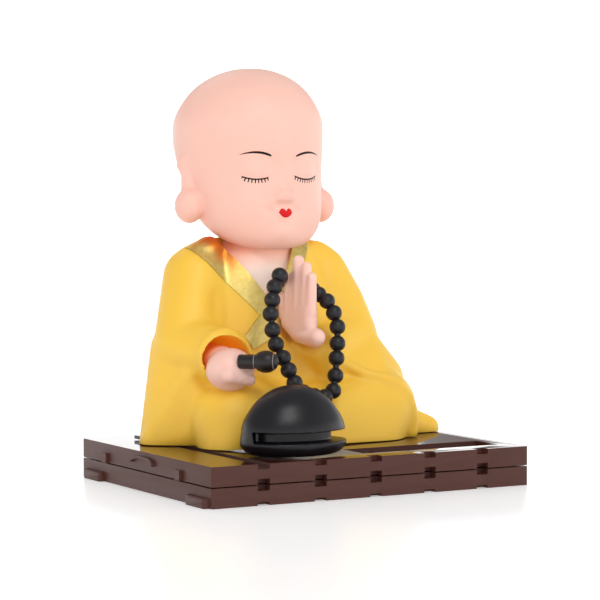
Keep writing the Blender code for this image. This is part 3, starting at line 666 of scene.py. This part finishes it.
def robe_masses():
    """The robe's body, sleeves, knees and hanging cloth."""
    shoulders = [
        limb((-12, 22.5, 49, 7.5), (-21.4, 22, 46.5, 9.3), (-28, 15, 27, 9.3)),
        limb((-17, 21, 53.2, 5.2), (-22, 21.5, 50.3, 6), (-10, 24, 51, 5)),
        limb((12, 22.5, 49, 7.5), (19.2, 22, 46.5, 9.2), (23.2, 18.4, 37.5, 9), (25, 14.5, 29.5, 8.8)),
        limb((12, 21.5, 52.2, 5.6), (18, 21.5, 50.8, 6.2), (20.4, 21.5, 48.6, 6.8)),
    ]
    sleeves = [
        limb((-28, 15, 27, 9.3), (-24, 6, 25.5, 8.6), (-23.6, 0.6, 25, 8.2)),
        limb((-28, 17, 26, 9.3), (-29.6, 16, 12, 8), (-35, 16, 0, 6.6), (-28, 7, 14, 5)),
        limb((-31, 6.6, 20, 3.4), (-33.6, 9.4, 14, 3.2), (-37, 12.8, 6.5, 3.2), (-39, 14.6, 1, 3.4),
             (-27, 8, 5, 7)),
        limb((25.2, 14, 28, 8.8), (11, 5, 25.5, 6.6)),
        limb((26, 12, 24.5, 8.2), (12, 3.4, 21.5, 4.6), (31.8, 10, 15.6, 8.8), (27, 2, 17, 5)),
    ]
    knees = [
        limb((-21.6, 0.8, 7.4, 11.4), (-24.4, -3.4, 1, 8), (0, -3, 1, 8.4), (0, 0, 5, 10.8),
             (-14, 8, 10, 10)),
        limb((27.6, 2.4, 8.6, 11.8), (23.4, -2.6, 1, 8.8), (4, -3, 1, 8.4), (4, 0, 5, 10.8), (16, 8, 10, 10)),
        limb((35, 8, 4, 6.4), (47.6, 6, 1.2, 3.8), (38, 16, 3, 5)),
    ]
    collar = roll((-16.4, 25, 55.6, 2.9), (-10, 30, 54.8, 3), (0, 31, 53.8, 3), (9, 29.4, 54, 3),
                  (14.4, 24, 54.4, 2.9))
    hem = roll((8.6, 0.8, 24.6, 1.6), (13.7, -0.2, 22.6, 1.5), (20.5, -3.6, 18.9, 1.5),
               (25.4, -5.1, 17.8, 1.6), (29.7, -6.4, 15.6, 1.7), (33, -6.4, 12.4, 1.8), (34.6, -5.8, 8, 2),
               (35.4, -4.6, 1.6, 2.2))
    ridge = roll((-31.2, 3.6, 21.6, 1.6), (-32.8, 6.4, 16.6, 1.9), (-35.8, 10, 10.4, 2.1),
                 (-39, 13.2, 3, 2.2))
    wrist_fold = roll((1.6, 5.2, 27.4, 1.3), (3.8, 4, 25.4, 1.3), (6.2, 2.2, 24.5, 1.4), (9, 0.2, 25.4, 1.5),
                      (10.4, -0.6, 29, 1.3))
    cuff = [(CUFF_MIDDLE.x + CUFF_RING * cos(pi * turn / 8), CUFF_MIDDLE.y,
             CUFF_MIDDLE.z + CUFF_RING * sin(pi * turn / 8), CUFF_LIP * min(1, 1.9 - turn / 7))
            for turn in range(-2, 11)]
    folds = collar + hem + ridge + wrist_fold + roll(*cuff)
    return [stack("torso", TORSO)] + shoulders + sleeves + knees + folds


robe = fuse("robe_moulding", robe_masses(), ROBE_GRAIN, ROBE_ROUNDS)
print("robe melted:", len(robe.data.polygons), "faces")

# %% [markdown]
# The sleeve's mouth is a hollow that tapers inwards. It is cut before a second melting, which rounds its
# lip as the mould did. Soft creases at the armpits are pressed in like thumb marks.

# %% Sleeve mouth and creases
combine(robe, limb((-24.2, -12, 24.8, 7), (-24.3, 1, 24.8, 6.3), (-26, 8, 25.5, 5.4)), "DIFFERENCE")
robe = fuse("robe_moulding", [robe], ROBE_GRAIN, ROBE_ROUNDS)
press(robe, (-20.2, 10.8, 41.3, 2.6, -0.7), (-20.8, 9.6, 38, 2.4, -0.7), (-21.2, 8.9, 35.1, 2.4, -0.5),
      (16.7, 14.2, 50.7, 2.4, -0.6), (15.8, 12.8, 47.6, 2.2, -0.4))
robe_whole = bpy.data.objects.new("robe_whole", robe.data.copy())
bpy.context.scene.collection.objects.link(robe_whole)
print("robe with its sleeve mouth:", len(robe.data.polygons), "faces")

# %% [markdown]
# The collar leaves a wedge open, pointed at the breast and round at the nape. It is cut last, with an
# exact Boolean, because its edge is the one crisp line of the robe. The foot is cut flat on the stand.

# %% Neck opening and foot
V_DEPTH = (-5, 14.5)
V_FRONT = (-19.2, 2.5)
V_TOP = 60
V_NAPE = (-3, 21)
V_NAPE_HALF = (15.5, 8.5)
V_FLARE = 1.25


def neck_opening(inset=0.0):
    """The wedge that the collar leaves open."""
    bm = bmesh.new()
    front, back = V_DEPTH
    half_width, half_depth = (half - inset for half in V_NAPE_HALF)
    points = [place(V_TIP[0], y, V_TIP[1] + 1.6 * inset) for y in V_DEPTH]
    for level, flare in ((V_TOP, 1), (V_TOP + 8, V_FLARE)):
        points += [place((x + shift) * flare, front, level) for x, shift in zip(V_FRONT, (inset, -inset))]
        points += [place(V_NAPE[0] + half_width * cos(pi * turn / 24) * flare,
                         V_NAPE[1] + half_depth * sin(pi * turn / 24), level) for turn in range(25)]
    for point in points:
        bm.verts.new(point)
    return wrap("opening", bm)


combine(robe, neck_opening(), "DIFFERENCE")
slice_off(robe, Vector((0, 0, ground)), Vector((0, 0, -1)))
dress(robe, yellow, "robe", "robe", sharp=CRISP)

# %% [markdown]
# Each lapel is a band of foil that follows the robe a hair above it. A copy of the whole robe is swollen,
# a flat outline is pushed through it like a pastry cutter, and the robe's own shrunken copy is taken out
# again, which leaves a thin curved strip.

# %% Lapels
LAPELS = (("lapel_under", 0.3, ((-31, 61.5), (-23.1, 52.85), (-17.2, 46.4), (-8.6, 36.6), (0, 28), (4, 33),
                                V_TIP, (-14.5, 54.3), (-19, 62))),
          ("lapel_over", 0.55, ((13.8, 60), (10.8, 54.9), (8.1, 50.9), (-6.3, 29.3), (-11.2, 26.7),
                                (-13.3, 30.2), (-9.7, 34.5), V_TIP, (2, 49.5), (8, 62))))
LAPEL_SINK = -0.3
LAPEL_LOWEST = 25
LAPEL_REARMOST = 21
CUTTER_FRONT = -15
CUTTER_DEPTH = 50


def swollen(name, by):
    """The front and top of the whole robe, grown along its normals."""
    bm = bmesh.new()
    bm.from_mesh(robe_whole.data)
    for vert in bm.verts:
        vert.co += vert.normal * by * MM
    made = add_object(name, bm)
    slice_off(made, place(0, 0, LAPEL_LOWEST), Vector((0, 0, -1)))
    return slice_off(made, place(0, LAPEL_REARMOST, 0), Vector((0, 1, 0)))


def pastry_cutter(outline):
    """A flat outline of (x, z) pushed from front to back."""
    bm = bmesh.new()
    flat = bm.faces.new([bm.verts.new(place(x, CUTTER_FRONT, z)) for x, z in outline])
    pushed = bmesh.ops.extrude_face_region(bm, geom=[flat])["geom"]
    bmesh.ops.translate(bm, vec=(0, CUTTER_DEPTH * MM, 0), verts=corners(pushed))
    bmesh.ops.recalc_face_normals(bm, faces=bm.faces)
    return add_object("cutter", bm)


for name, rise, outline in LAPELS:
    band = swollen(name, rise)
    combine(band, pastry_cutter(outline), "INTERSECT")
    combine(band, swollen("inner", LAPEL_SINK), "DIFFERENCE")
    dress(band, foil, "robe", "robe", sharp=CRISP)
bpy.data.objects.remove(robe_whole)

# %% [markdown]
# Under the chin the chest shows, with the neck on it. They are one moulding in skin colour, so neck and
# chest melt into each other with a soft slope.

# %% Chest and neck
CHEST = ((26, 20, 26.5, 14.4), (38, 21.5, 23.5, 13.2), (47, 22, 20.5, 11.8), (52.5, 22, 15.4, 10),
         (56, 22, 12, 9), (60, 21.8, 10, 9))
chest = fuse("chest_moulding", [stack("chest", CHEST), limb((0, 20.6, 46, 9.6), (0, 20.6, 62, 9.6))], 0.5, 12)
combine(chest, neck_opening(0.1), "INTERSECT")
dress(chest, chest_skin_painted_light, "skin_chest", "neck_and_chest", sharp=CRISP)

# %% [markdown]
# The head is an egg with full cheeks, long ear lobes and a button nose. Rings give the egg, clay gives the
# ears, and soft thumb marks give what is too shallow for clay: lids, the hollows under the brows, cheeks,
# the corners of the smile and the chin.

# %% Head
HEAD = ((54.2, 15.6, 4, 3), (55.6, 16.2, 9.6, 6.8), (58, 18.6, 14.2, 10.8), (62, 21.4, 17.7, 14.2),
        (67, 24.4, 19.4, 17.3), (75, 27.2, 21, 18.8), (81, 28.8, 21.8, 20.8), (87, 29.6, 22.2, 22),
        (92.5, 29.4, 21.8, 21.7), (97.5, 29, 19.4, 19.3), (101.8, 28.6, 15.8, 15.7), (105, 28.2, 11, 11),
        (106.8, 28, 5.9, 6), (107.3, 28, 2.2, 2.2))


def head_masses():
    """The egg, the ears with their lobes and the nose."""
    masses = [stack("skull", HEAD, 128, 4)]
    for side in (-1, 1):
        masses.append(ball(side * 21.3, 28.2, 79.4, 2.4, 3.6, 3.2))
        masses.append(limb((side * 21.6, 27, 78, 1.6), (side * 21.2, 26.2, 71, 2.3)))
        masses.append(ball(side * 21.8, 24.8, 67.2, 4.1, 5, 5.1))
        masses.append(ball(side * 2.1, 8.1, 69.3, 1.5))
    masses += [ball(0, 8.5, 70.1, 3.4, 2.9, 2.6), limb((0, 9.6, 74, 2), (0, 8, 70, 2))]
    return masses


head = fuse("head_moulding", head_masses(), 0.5, 8)
for side, middle, low in ((-1, -8.1, 74.8), (1, 8.3, 74.85)):
    press(head, (middle - 2.4, 9.9, low + 2.2, 2.4, 0.6), (middle, 9.5, low + 2.5, 2.5, 0.6),
          (middle + 2.4, 9.3, low + 2.2, 2.4, 0.6),
          (middle - 3.0, 10, low + 0.2, 1.0, -0.3), (middle - 1.2, 9.7, low - 0.3, 1.0, -0.3),
          (middle + 1.2, 9.6, low - 0.3, 1.0, -0.3), (middle + 3.0, 9.6, low + 0.2, 1.0, -0.3),
          (middle - side * 4.2, 8.9, low + 4.6, 2.6, -0.85), (middle, 9.2, low + 5.6, 2.0, -0.3),
          (side * 11.5, 10.6, 67, 6.0, 0.8))
press(head, (-5.1, 7.6, 66.3, 1.4, -0.95), (-3.9, 7.3, 65.8, 0.9, -0.55), (3.4, 7.3, 66.0, 1.0, -0.7),
      (4.6, 7.5, 66.2, 1.2, -0.6), (-0.2, 7.2, 65.4, 1.8, 0.6), (-0.5, 7.2, 62.6, 1.8, -0.8),
      (-0.3, 7.9, 60.2, 3.0, 0.8), (-2.3, 7.5, 67.4, 1.2, -0.6),
      (-0.4, 7.4, 67.3, 1.3, -0.6), (1.5, 7.4, 67.4, 1.2, -0.6))
dress(head, face, "skin_head", "head")

# %% [markdown]
# The right fist holds a mallet. Two short rolls are the curled fingers, with small dents pressed in along
# them, and the wrist runs back into the sleeve.

# %% Right hand
FIST = Vector((-23.9, -4, 21.9))


def fist_masses():
    """The closed hand and its wrist."""
    x, y, z = FIST
    return [ball(x, y, z, 6.9, 6.4, 6.1), limb((x - 0.4, y + 3, z + 1.3, 5), (-25.2, 5.4, 24.8, 4.4)),
            limb((x + 2.6, y - 4.2, z + 1.2, 1.9), (x + 5, y - 1.4, z - 0.6, 1.9)),
            limb((x - 2.6, y - 4.6, z - 1.4, 2.2), (x + 3.6, y - 4.2, z - 2.6, 2))]


fist = fuse("right_fist", fist_masses(), 0.32, 5)
press(fist, (-26.5, -10.1, 20.7, 1, -0.22), (-24.8, -10.4, 19.8, 1, -0.25), (-22.8, -10.1, 18.9, 1, -0.25),
      (-20.6, -9.5, 19.3, 1, -0.22), (-26.8, -8.3, 17.8, 1, -0.2), (-25.1, -8.6, 17.2, 1, -0.22),
      (-23.2, -8.6, 17, 1, -0.22), (-21.4, -8.8, 17.6, 1, -0.2))
dress(fist, hand_skin, "skin_right_hand", "right_hand")

# %% [markdown]
# The mallet is turned: its outline, from the flat end of the handle to the tip of the egg-shaped head, is
# spun round its axis. Two fine pale rings on the head are the mould's parting lines, so they are colour
# and not form.

# %% Mallet
MALLET_START = Vector((-24.1, -9.4, 24.5))
MALLET_HEAD = Vector((-18.3, -14.4, 24.6))
HANDLE_RADIUS = 2.0
EGG_RADIUS = 3.1
EGG_HALF = 3.6
axis = (MALLET_HEAD - MALLET_START).normalized()
reach = (MALLET_HEAD - MALLET_START).length
outline = [(0, 0), (HANDLE_RADIUS - 0.3, 0), (HANDLE_RADIUS, 0.3)]
for step in range(17):
    angle = pi * (0.775 - 0.775 * step / 16)
    outline.append((max(EGG_RADIUS * sin(angle), 0.0), reach + EGG_HALF * cos(angle)))
outline[3] = (HANDLE_RADIUS, outline[3][1])
bm = bmesh.new()
chain = [bm.verts.new((radius * MM, 0, height * MM)) for radius, height in outline]
for one, two in zip(chain, chain[1:]):
    bm.edges.new((one, two))
bmesh.ops.spin(bm, geom=bm.verts[:] + bm.edges[:], axis=(0, 0, 1), cent=(0, 0, 0), dvec=(0, 0, 0),
               angle=2 * pi, steps=40, use_merge=True)
bmesh.ops.remove_doubles(bm, verts=bm.verts, dist=MM / 200)
bmesh.ops.recalc_face_normals(bm, faces=bm.faces)
turn = Vector((0, 0, 1)).rotation_difference(axis).to_matrix().to_4x4()
bmesh.ops.transform(bm, matrix=Matrix.Translation(place(*MALLET_START)) @ turn, verts=bm.verts)
mallet = add_object("mallet_turned", bm)
travel = mallet_black.along(place(*MALLET_START), axis)
rings = between(travel, reach - 3.2, reach - 3.0) + between(travel, reach + 2.3, reach + 2.45)
mallet_black.set("Base Color", mallet_black.blend(mallet_black.colour, srgb(150, 142, 140), rings))
dress(mallet, mallet_black, "mallet", "mallet", sharp=TURNED)

# %% [markdown]
# The raised left hand is a flat palm with four fingers side by side, seen almost from its edge, and the
# thumb along the near side. A thin web joins the fingers, so only shallow grooves part them.

# %% Left hand
FINGER_TIPS = ((-0.8, 2.9, 46.7, 1.5), (0.1, -0.4, 51.7, 1.6), (0.9, -3.5, 50.1, 1.4),
               (1.4, -5.6, 47.2, 1.35))
FINGER_ROOTS = ((-0.9, 3.2, 37, 1.9), (0.1, -0.4, 36, 2), (0.8, -3, 36, 2), (1.3, -5.1, 37, 1.8))


def palm_masses():
    """Palm, fingers, thumb and the heel of the hand."""
    fingers = [limb(root, tip) for root, tip in zip(FINGER_ROOTS, FINGER_TIPS)]
    web = limb((-0.7, 2.9, 46, 1.1), (0.1, -0.4, 50.2, 1.2), (0.9, -3.5, 48.9, 1.1), (1.3, -5.4, 46.3, 1),
               (-0.9, 3.2, 37, 1.9), (1.3, -5.1, 37, 1.8))
    middle = limb((-0.9, 4.6, 38, 2.1), (1.3, -4.6, 38.2, 2.1), (-0.6, 3.6, 34, 2.4), (1.2, -4.2, 33.5, 2.4),
                  (0.3, -0.8, 31, 2.6))
    thumb = limb((-1.1, 4.8, 36, 2), (-1.6, 5.4, 41.4, 1.5))
    heel = limb((2.1, -7.2, 30.3, 2.5), (1.2, -3.6, 30.5, 2.8), (0.3, -0.8, 31, 2.6))
    wrist = limb((1.6, -3.4, 30.6, 2.9), (6.4, 1.6, 29.4, 3.1))
    return fingers + [web, middle, thumb, heel, wrist]


palm = fuse("left_palm", palm_masses(), 0.28, 4)
dress(palm, hand_skin, "skin_left_hand", "left_hand")

# %% [markdown]
# The beads hang in one loop: over the raised hand, down in front of the robe and behind the drum. Each bead
# sits on its own measured place, turned with the string, with a short piece of string on to the next one.

# %% Beads
BEAD_PLACES = ((-7.3, -2.6, 47.7), (-9.5, -3.6, 44.6), (-10.9, -4.8, 41), (-12.2, -6.2, 37.2),
               (-12.5, -7.8, 32.8), (-12.3, -9.4, 28.9), (-11.2, -11.4, 25.2), (-10.4, -13.2, 21.9),
               (-9.2, -14.4, 18.4), (-6.4, -14.4, 15.6), (-2.7, -13.9, 14.4), (1.2, -13.2, 13.9),
               (4.6, -12.1, 15.4), (6.2, -10.6, 19.5), (7.4, -9.2, 24.3), (8.3, -8.2, 28.4), (9, -7, 33),
               (8.8, -5.4, 36.9), (7.6, -3.6, 40.2), (6.6, -0.6, 42), (6.7, 3, 43.2), (5, 6.4, 44.5),
               (1.8, 7.8, 45.6), (-1.7, 6.8, 46.4), (-4.4, 2.2, 47.1))
BEAD_RADIUS = 2.3
STRING_RADIUS = 0.9

bm = bmesh.new()
spots = [place(*point) for point in BEAD_PLACES]
for index, spot in enumerate(spots):
    following = spots[(index + 1) % len(spots)]
    facing = Vector((0, 0, 1)).rotation_difference(following - spot).to_matrix().to_4x4()
    bmesh.ops.create_uvsphere(bm, u_segments=28, v_segments=18, radius=BEAD_RADIUS * MM,
                              matrix=Matrix.Translation(spot) @ facing)
    bmesh.ops.create_cone(bm, cap_ends=True, segments=14, radius1=STRING_RADIUS * MM,
                          radius2=STRING_RADIUS * MM, depth=(following - spot).length * 0.6,
                          matrix=Matrix.Translation((spot + following) / 2) @ facing)
beads = add_object("bead_string", bm)
dress(beads, bead_black, "beads", "prayer_beads", sharp=TURNED)
print("beads:", len(spots))

# %% [markdown]
# The drum is a wooden fish, a round hollow block that is struck with the mallet. Here it is black plastic:
# level ovals give the dome, and a slot runs round its front and its right end. The slot leaves a core
# behind it. Melting rounds both lips.

# %% Drum
DRUM_RINGS = ((0.0, 0.76), (0.035, 0.88), (0.10, 0.965), (0.17, 1.0), (0.30, 0.985), (0.40, 0.965),
              (0.50, 0.925), (0.62, 0.84), (0.75, 0.715), (0.86, 0.555), (0.94, 0.38), (0.985, 0.2),
              (1.0, 0.06))
SLOT_BOTTOM = 3.7
SLOT_HEIGHT = 2.9
SLOT_DEPTH = 4.2
drum_low, drum_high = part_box("wooden_fish")
drum_middle = (drum_low + drum_high) / 2
drum_half = (drum_high - drum_low) / 2
figure_foot = place(0, 0, 0)


def drum_stack(name, rings):
    """A solid through the drum's ovals, given as (height, half width, half depth) in metres."""
    shift = (drum_middle.x - FIGURE_X, drum_middle.y, drum_low.z - figure_foot.z)
    made = stack(name, [((shift[2] + height) / MM, shift[1] / MM, width / MM, depth / MM)
                        for height, width, depth in rings])
    made.data.transform(Matrix.Translation((shift[0], 0, 0)))
    return made


def block(low, high):
    """A block between two corners."""
    bm = bmesh.new()
    bmesh.ops.create_cube(bm, size=1.0)
    bmesh.ops.scale(bm, vec=high - low, verts=bm.verts)
    bmesh.ops.translate(bm, vec=(low + high) / 2, verts=bm.verts)
    return add_object("block", bm)


drum = drum_stack("drum_shell", [(height * drum_half.z * 2, share * drum_half.x, share * drum_half.y)
                                 for height, share in DRUM_RINGS])
slot_low = drum_low.z + SLOT_BOTTOM * MM
slot_high = slot_low + SLOT_HEIGHT * MM
slot = block(Vector((drum_low.x + SLOT_DEPTH * MM / 4, drum_low.y - MM, slot_low)),
             Vector((drum_high.x + MM, drum_middle.y + drum_half.y / 2, slot_high)))
core = drum_stack("core", [(height, drum_half.x - SLOT_DEPTH * MM, drum_half.y - SLOT_DEPTH * MM)
                           for height in (0.0, drum_half.z, 2 * drum_half.z)])
combine(slot, core, "DIFFERENCE")
combine(drum, slot, "DIFFERENCE")
drum = fuse("drum_moulding", [drum], 0.25, 6)
dress(drum, drum_black, "drum", "wooden_fish")

# %% [markdown]
# The stand's plates and the panel are already right in shape. Only their edges are too sharp: a moulded
# edge always has a small radius, and that radius catches the light as a fine bright line. So each is a
# copy with its doubles merged, its flat faces made whole again and its edges bevelled.

# %% Stand and panel
def soft_edged(name, node, width):
    """A copy of a node with its sharp edges rounded."""
    bm = bmesh.new()
    bm.from_mesh(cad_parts[node].data)
    bmesh.ops.remove_doubles(bm, verts=bm.verts, dist=MM / 100)
    bmesh.ops.dissolve_limit(bm, angle_limit=radians(1), verts=bm.verts, edges=bm.edges)
    sharp = [edge for edge in bm.edges if edge.is_manifold and edge.calc_face_angle() > radians(25)]
    bmesh.ops.bevel(bm, geom=sharp, offset=width * MM, segments=2, profile=0.5, affect="EDGES", material=-1,
                    clamp_overlap=True)
    bmesh.ops.recalc_face_normals(bm, faces=bm.faces)
    return add_object(name, bm)


for name, node, width, finish, slot in (("upper_plate", "base_upper_plate", 0.16, stand_upper, "stand_upper"),
                                        ("lower_plate", "base_lower_plate", 0.16, stand_lower, "stand_lower"),
                                        ("panel_plate", "solar_panel", 0.1, panel_black, "panel")):
    dress(soft_edged(name, node, width), finish, slot, node, sharp=BEVELLED)
